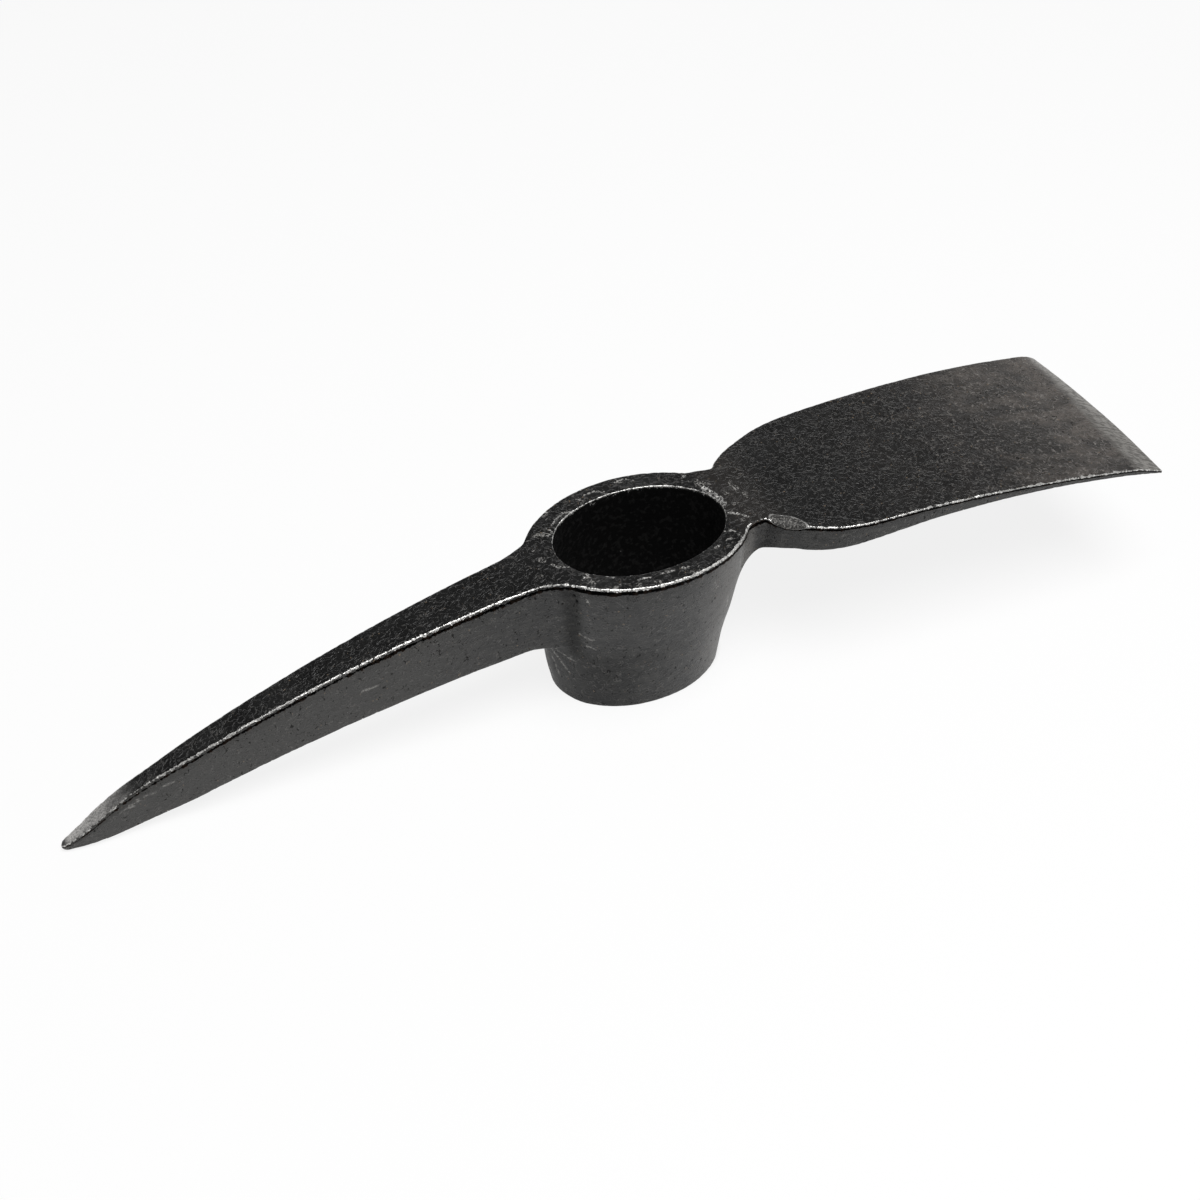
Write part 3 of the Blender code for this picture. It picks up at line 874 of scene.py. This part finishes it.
# Layers over the lacquer, from the lowest up: a finish, how much of it at most, and the soft steps that bound
# it. A step is where it starts, where it is full, the sum that it reads, and what it leaves outside.
onTop, onSides = (0.55, 0.85, {"up": 1}), (0.85, 0.55, {"up": 1})
layers = (
    ("lacquerPale", 1.0, ((0.3, 0.7, {"mottle": 1}),)),
    ("combed", 0.5, ((0.42, 0.64, {"combed": 0.6, "patch": 0.4}), onSides)),
    # painted sheen on the sides of the pick, paler towards the tip
    ("handled", 0.8, ((-40, -95, {"x": 1, "patch": 20}), onSides)),
    # painted shade: the socket's wall darker low down and towards the arm, short of the arm itself
    ("line", 0.25, ((12, -24, {"x": 1, "patch": 8}), (-46, -40, {"x": 1}), (36, 24, {"z": 1}), onSides)),
    # painted sheen on the socket's wall beside the neck
    ("scuffed", 0.8, ((10, 34, {"x": 1, "patch": 8}), (42, 39, {"x": 1}), onSides)),
    ("patina", 0.52, ((60, 125, {"x": 1, "patch": 20}), onTop, (0.35, 0.65, {"cloud": 1}, 0.4))),
    ("patinaPale", 0.9, ((150, 235, {"x": 1, "patch": 60}), onTop, (0.38, 0.62, {"cloud": 1}, 0.3),
                          (0.38, 0.58, {"grain": 0.5, "ragged": 0.5}, 0.45))),
    ("pit", 0.7, ((0.65, 0.72, {"pit": 1}),)),
    ("curl", 0.45, ((0.03, 0.006, {"curlLine": 1}), (0.49, 0.59, {"keep": 1}), (0.3, 0.8, {"up": 1}, 0.9))),
    ("etched", 0.55, ((0.03, 0.006, {"curlLine": 1}), (0.42, 0.6, {"keep": 1}), (90, 190, {"x": 1}), onTop)),
    # painted sheen: the neck's top a little paler
    ("patinaPale", 0.12, ((30, 38, {"x": 1}), (64, 48, {"x": 1, "patch": 8}), onTop)),
    ("smudge", 0.8, ((0.58, 0.66, {"patch": 1}), (0.3, 0.8, {"rub": 1}), (0.48, 0.57, {"grain": 1}))),
    ("speck", 0.7, ((0.70, 0.76, {"speck": 1}), (0.46, 0.56, {"hollow": 1}))),
    # painted shade along the crease where the arm meets the socket
    ("line", 0.35, ((0.0, 1.0, {"crease": 1}), onSides)),
    # painted shadow: the dark line under the edges
    ("line", 1.0, ((1.12, 1.22, {"under": 1, "ragged": 0.8, "grain": 0.4}),)),
    ("rust", 0.4, ((0.2, 0.4, {"under": 1}), (0.52, 0.6, {"ragged": 1}), (0.3, 0.8, {"rub": 1}, 0.3))),
    ("line", 0.7, ((0.85, 1.1, {"crack": 1, "ragged": 0.7}),)),
    ("granularDark", 1.0, ((0.28, 0.4, {"struck": 1}),)),
    ("granular", 0.75, ((0.28, 0.4, {"struck": 1}), (0.45, 0.65, {"grain": 1}))),
    ("smudge", 1.0, ((0.25, 0.5, {"lap": 1}), (0.45, 0.6, {"grain": 1}), (0.38, 0.55, {"ragged": 1}))),
    ("bare", 0.8, ((0.5, 0.8, {"lap": 1}), (0.48, 0.56, {"grain": 1}), onTop)),
    ("smudge", 0.5, ((0.2, 0.7, {"scratch": 1}), (0.42, 0.56, {"grain": 1}, 0.3))),
    # painted shade: the inside of the eye, rough scale made near black
    ("bore", 1.0, ((0.3, 0.7, {"bore": 1}),)),
    ("granularDark", 0.25, ((0.6, 0.9, {"bore": 1}), (0.5, 0.64, {"ragged": 1}))),
    ("bare", 0.9, ((0.2, 0.5, {"chip": 1}), (0.42, 0.6, {"grain": 1}))),
)
# bare steel round the struck facet, and along the edges bare steel with a painted highlight
edgeLines = (
    ("bare", 0.4, ((0.13, 0.2, {"struck": 1}), (0.32, 0.25, {"struck": 1}), (0.4, 0.55, {"ragged": 1}, 0.3))),
    ("bare", 1.0, ((1.7, 1.8, {"wear": 1, "ragged": 1.5, "grain": 0.9}), (0.4, 0.5, {"grain": 1}, 0.35))),
)
pointLayers = (
    ("rubbed", 0.95, ((-190, -222, {"x": 1, "patch": 24}), onTop, (-233.6, -231, {"x": 1}),
                      (0.4, 0.58, {"streak": 0.3, "grain": 0.7}, 0.42))),
)
filedStrip = (214, 218, {"x": 1, "y": -0.11, "streak": 10, "cloud": 8})
edgeLayers = (
    ("ground", 1.0, (filedStrip, onTop)),
    ("groundDark", 0.7, (filedStrip, onTop, (0.44, 0.58, {"streak": 1}))),
)


# Steel under black lacquer, as forged: nearly black, with the layers' scratches, specks and rubbed edges, and
# the painted highlights, sheen and shade that some of them carry
def steelMaterial(name, ownLayers=()):
    material = bpy.data.materials.new(name)
    material.use_nodes = True
    tree = material.node_tree
    add = partial(addNode, tree)
    shader = tree.nodes["Principled BSDF"]
    where = add("ShaderNodeTexCoord", out="Object")
    place = add("ShaderNodeVectorMath", {0: where, "Scale": 1 / mm}, operation="SCALE")
    axes = add("ShaderNodeSeparateXYZ", {0: place}).node.outputs
    source = {"x": axes[0], "y": axes[1], "z": axes[2]}
    for key, (sizes, detail, twist, *turn) in pattern.items():
        turned = place
        if turn:
            turned = add("ShaderNodeVectorRotate", {"Vector": place, "Angle": math.radians(*turn)},
                         rotation_type="Z_AXIS")
        shrunk = add("ShaderNodeVectorMath", {0: turned, 1: [1 / size for size in sizes]},
                     operation="MULTIPLY")
        source[key] = add("ShaderNodeTexNoise",
                          {"Vector": shrunk, "Scale": 1.0, "Detail": detail, "Distortion": twist})
    for key in (*traces, *marks, "up"):
        source[key] = add("ShaderNodeAttribute", out="Fac", attribute_name=key)
    offMiddle = add("ShaderNodeMath", {0: source["curl"], 1: 0.5}, operation="SUBTRACT")
    source["curlLine"] = add("ShaderNodeMath", {0: offMiddle}, operation="ABSOLUTE")
    source["curlRidge"] = add("ShaderNodeMapRange",
                              {"Value": source["curlLine"], "From Min": curlReach, "From Max": 0.0})
    hexText, roughness, metallic = finish["lacquer"]
    colour = hexColour(hexText)
    for key, most, steps in layers + ownLayers + edgeLines:
        share = most
        for start, full, weights, *outside in steps:
            total = 0.0
            for part, weight in weights.items():
                total = add("ShaderNodeMath", {0: source[part], 1: weight, 2: total},
                            operation="MULTIPLY_ADD")
            step = add("ShaderNodeMapRange",
                       {"Value": total, "From Min": start, "From Max": full,
                        "To Min": outside[0] if outside else 0.0}, interpolation_type="SMOOTHSTEP")
            share = add("ShaderNodeMath", {0: step, 1: share}, operation="MULTIPLY")
        hexText, roughTo, metalTo = finish[key]
        colour = add("ShaderNodeMix", {0: share, 6: colour, 7: hexColour(hexText)}, out=2, data_type="RGBA")
        roughness = add("ShaderNodeMix", {0: share, 2: roughness, 3: roughTo}, data_type="FLOAT")
        metallic = add("ShaderNodeMix", {0: share, 2: metallic, 3: metalTo}, data_type="FLOAT")
    height = 0.0
    for key, depth in relief.items():
        height = add("ShaderNodeMath", {0: source[key], 1: depth, 2: height}, operation="MULTIPLY_ADD")
    strength = add("ShaderNodeMapRange", {"Value": metallic, "To Min": 1.0, "To Max": metalRelief})
    normal = add("ShaderNodeBump", {"Strength": strength, "Distance": mm, "Height": height})
    ends = {"Base Color": colour, "Roughness": roughness, "Metallic": metallic, "Normal": normal}
    for name, output in ends.items():
        tree.links.new(output, shader.inputs[name])
    return material


# the part of the head inside some planes, each a place and an outward direction, with its cuts closed
def cutPiece(source, name, planes, material):
    bm = bmesh.new()
    bm.from_mesh(source)
    for place, outward in planes:
        everything = bm.verts[:] + bm.edges[:] + bm.faces[:]
        cut = bmesh.ops.bisect_plane(bm, geom=everything, dist=onCut * mm, plane_co=Vector(place) * mm,
                                     plane_no=outward, clear_outer=True)
        rim = [item for item in cut["geom_cut"] if isinstance(item, bmesh.types.BMEdge)]
        for face in bmesh.ops.holes_fill(bm, edges=rim, sides=0)["faces"]:
            for edge in face.edges:
                edge.smooth = False
    bmesh.ops.recalc_face_normals(bm, faces=bm.faces)
    mesh = bpy.data.meshes.new(name)
    bm.to_mesh(mesh)
    bm.free()
    mesh.materials.clear()
    mesh.materials.append(material)
    for polygon in mesh.polygons:
        polygon.use_smooth = True
        polygon.material_index = 0
    return addObject(name, mesh)


# a plane across the head at a place, facing away from the socket along X and leaning up by some degrees
def across(x, z, outward, lean):
    lean = math.radians(lean)
    return (x, 0, z), Vector((outward * math.cos(lean), 0, math.sin(lean)))


def flipped(plane):
    return plane[0], -plane[1]


pickX = pick["tipX"] + pick["scarfFromTip"]
edgeX = blade["endX"] - blade["edgeLength"]
armWeld = across(pick["weldX"], 0, -1, 0)
bladeWeld = across(blade["weldX"], 0, 1, 0)
pickScarf = across(pickX, (armTop(pickX) + armBottom(pickX)) / 2, -1, pick["scarfLean"])
edgeScarf = across(edgeX, (bladeTop(edgeX) + bladeBottom(edgeX)) / 2, 1, blade["scarfLean"])

forgedSteel = steelMaterial("lacqueredForgedSteel")
pointSteel = steelMaterial("lacqueredSteelRubbedPoint", pointLayers)
edgeSteel = steelMaterial("lacqueredSteelFiledEdge", edgeLayers)
head = forgedHead(forgedSteel)
print("skin:", len(head.vertices), "points")
pieces = {
    "socketForging": ("eye_socket", "forged_black", forgedSteel, [armWeld, bladeWeld]),
    "pickArmForging": ("pick_arm", "forged_black", forgedSteel, [flipped(armWeld), pickScarf]),
    "pickPointForging": ("pick_point", "worn_steel", pointSteel, [flipped(armWeld), flipped(pickScarf)]),
    "bladeForging": ("mattock_blade", "forged_black", forgedSteel, [flipped(bladeWeld), edgeScarf]),
    "cuttingEdgeForging": ("cutting_edge", "worn_steel", edgeSteel, [flipped(bladeWeld), flipped(edgeScarf)]),
}
for name, (node, slot, material, planes) in pieces.items():
    piece = cutPiece(head, name, planes, material)
    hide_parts(node)
    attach(piece, "root")
    print(name, "has", sum(len(p.vertices) - 2 for p in piece.data.polygons), "triangles")
bpy.data.meshes.remove(head)


# the studio: a pale floor, a wide soft lamp above the near side, and walls that are white low down, grey
# higher up and dark behind the camera

studio = {
    "floorSize": 12.0, "floorColour": "#fafafa", "floorLift": 0.85, "liftFrom": 0.8,
    "key": {"place": (0.1, -0.5, 1.75), "size": 1.2, "power": 35.0},
    "lowWall": 1.0, "highWall": 0.065, "wallFrom": 0.12, "wallTo": 0.42,
    "front": (-0.435, -0.9, 0.0), "frontWall": 0.06, "frontFrom": 0.1, "frontTo": 0.6,
}

camera = {
    "azimuth": -25.81, "elevation": 41.885, "distance": 0.730,
    "aim": (-0.018518, -0.002568, 0.040), "focalLength": 56.784, "sensor": 36.0,
}


# The camera and the steel's reflections find the floor mostly white, with only part of its shading, so that
# its shadows stay faint and soft. Other light finds it plain matt, and so does all light inside the socket's
# foot.
def buildFloor():
    half = studio["floorSize"] / 2 / mm
    corners = [(-half, -half, 0), (half, -half, 0), (half, half, 0), (-half, half, 0)]
    floor = meshObject("floor", corners, [(0, 1, 2, 3)])
    material = bpy.data.materials.new("mattPaperFloor")
    material.use_nodes = True
    tree = material.node_tree
    add = partial(addNode, tree)
    tree.nodes.remove(tree.nodes["Principled BSDF"])
    matt = add("ShaderNodeBsdfDiffuse", {"Color": hexColour(studio["floorColour"])})
    rays = add("ShaderNodeLightPath").node.outputs
    seen = rays["Is Camera Ray"]
    for kind in ("Is Glossy Ray", "Is Transmission Ray"):
        seen = add("ShaderNodeMath", {0: seen, 1: rays[kind]}, operation="MAXIMUM")
    share = add("ShaderNodeMath", {0: seen, 1: studio["floorLift"]}, operation="MULTIPLY")
    where = add("ShaderNodeTexCoord", out="Object")
    footSize = (socket["footHalfLength"] * mm, socket["footHalfWidth"] * mm, 1.0)
    fromFoot = add("ShaderNodeVectorMath", {0: where, 1: footSize}, operation="DIVIDE")
    fromFoot = add("ShaderNodeVectorMath", {0: fromFoot}, out="Value", operation="LENGTH")
    outside = add("ShaderNodeMapRange", {"Value": fromFoot, "From Min": studio["liftFrom"], "From Max": 1.0})
    share = add("ShaderNodeMath", {0: share, 1: outside}, operation="MULTIPLY")
    white = add("ShaderNodeEmission", {"Strength": 1.0})
    both = add("ShaderNodeMixShader", {0: share, 1: matt, 2: white})
    tree.links.new(both, tree.nodes["Material Output"].inputs["Surface"])
    floor.data.materials.append(material)


def addLamp(name, lamp):
    light = bpy.data.lights.new(name, "AREA")
    light.size = lamp["size"]
    light.energy = lamp["power"]
    obj = addObject(name, light)
    obj.location = lamp["place"]
    obj.rotation_euler = (-Vector(lamp["place"])).to_track_quat("-Z", "Y").to_euler()


def buildWalls():
    world = bpy.data.worlds.new("studioWalls")
    world.use_nodes = True
    bpy.context.scene.world = world
    tree = world.node_tree
    add = partial(addNode, tree)
    way = add("ShaderNodeTexCoord", out="Generated")
    height = add("ShaderNodeSeparateXYZ", {0: way}, out=2)
    level = add("ShaderNodeMapRange",
                {"Value": height, "From Min": studio["wallFrom"], "From Max": studio["wallTo"],
                 "To Min": studio["lowWall"], "To Max": studio["highWall"]}, interpolation_type="SMOOTHSTEP")
    facing = add("ShaderNodeVectorMath", {0: way, 1: studio["front"]}, out="Value", operation="DOT_PRODUCT")
    dark = add("ShaderNodeMapRange",
               {"Value": facing, "From Min": studio["frontFrom"], "From Max": studio["frontTo"],
                "To Min": 1.0, "To Max": studio["frontWall"]}, interpolation_type="SMOOTHSTEP")
    level = add("ShaderNodeMath", {0: level, 1: dark}, operation="MULTIPLY")
    background = tree.nodes["Background"]
    background.inputs["Color"].default_value = (1, 1, 1, 1)
    tree.links.new(level, background.inputs["Strength"])


def placeCamera():
    a, e = math.radians(camera["azimuth"]), math.radians(camera["elevation"])
    back = Vector((math.sin(a) * math.cos(e), -math.cos(a) * math.cos(e), math.sin(e)))
    right = Vector((math.cos(a), math.sin(a), 0))
    data = bpy.data.cameras.new("camera")
    data.lens, data.sensor_width = camera["focalLength"], camera["sensor"]
    obj = addObject("camera", data)
    turn = Matrix((right, back.cross(right), back)).transposed().to_4x4()
    obj.matrix_world = Matrix.Translation(Vector(camera["aim"]) + back * camera["distance"]) @ turn
    bpy.context.scene.camera = obj


buildFloor()
addLamp("softLamp", studio["key"])
buildWalls()
placeCamera()
bpy.context.scene.view_settings.view_transform = "Standard"
print("studio ready")
